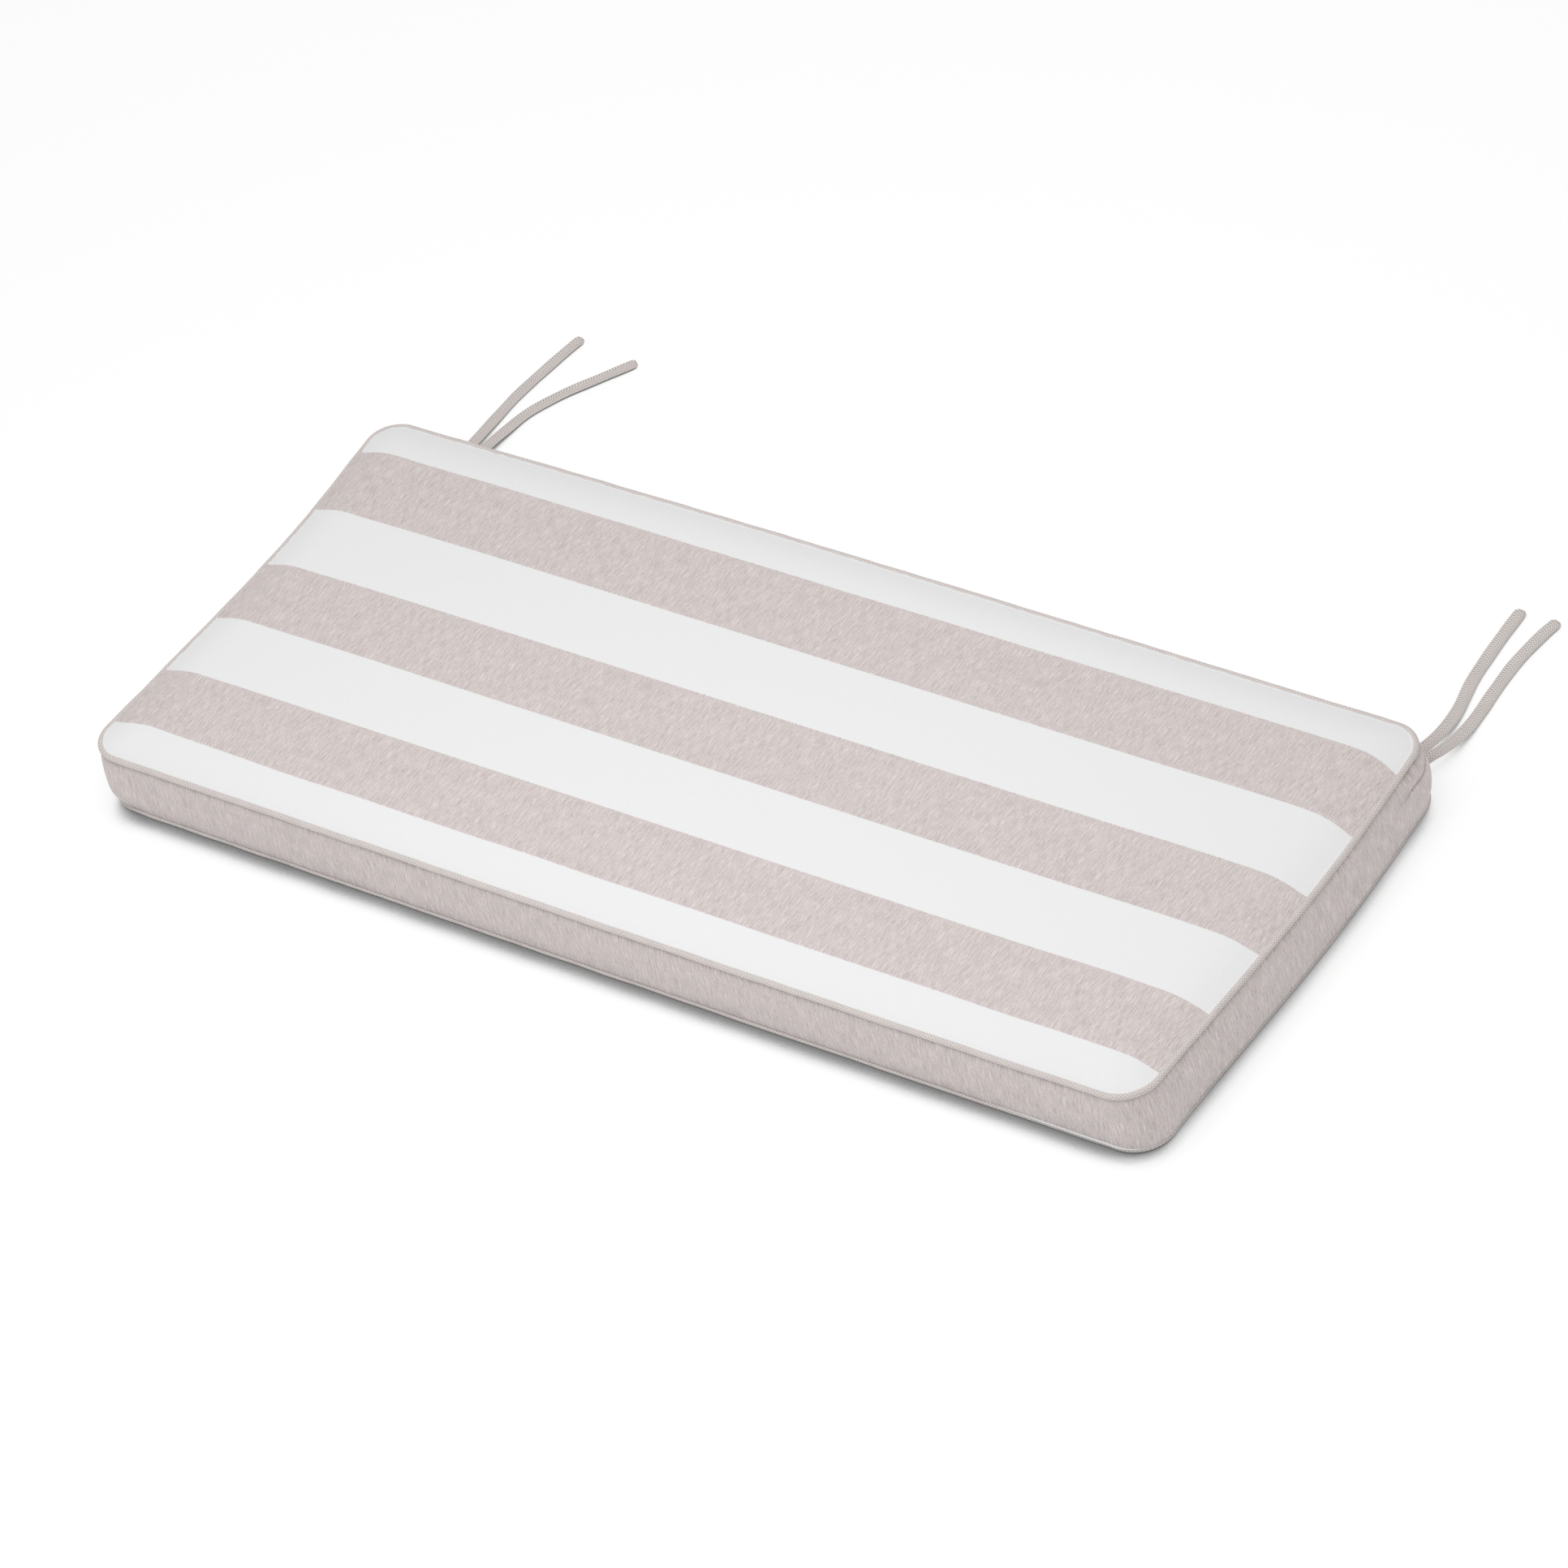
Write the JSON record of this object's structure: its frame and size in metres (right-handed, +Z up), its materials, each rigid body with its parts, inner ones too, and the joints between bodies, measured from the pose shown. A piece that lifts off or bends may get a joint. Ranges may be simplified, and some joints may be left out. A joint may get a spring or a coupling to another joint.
{
  "type": "bench cushion",
  "caption": "Long rectangular bench cushion with a striped top, piped edges, a plain border and flat tie straps at the rear edge.",
  "frame": {"origin": "bottom centre of the cushion's box, without the ties, on the surface that it lies on", "axes": "+X along the bench, +Y to the rear edge with the ties, +Z up"},
  "size_m": [1.2097, 0.7279, 0.0822],
  "materials": {
    "border": "plain beige chambray, matt",
    "striped_cloth": "wide beige and white stripes, matt",
    "base_cloth": "plain white cotton, matt",
    "piping": "bias-cut cream and beige check over a cord, matt",
    "ties": "fine basket weave tape, matt"
  },
  "bodies": {
    "root": {"cushion_body": "border", "rear_flap": "border", "top_panel": "striped_cloth", "bottom_panel": "base_cloth", "piping_top": "piping", "piping_bottom": "piping", "tie_left_outer": "ties", "tie_left_inner": "ties", "tie_right_inner": "ties", "tie_right_outer": "ties"}
  },
  "joints": []
}
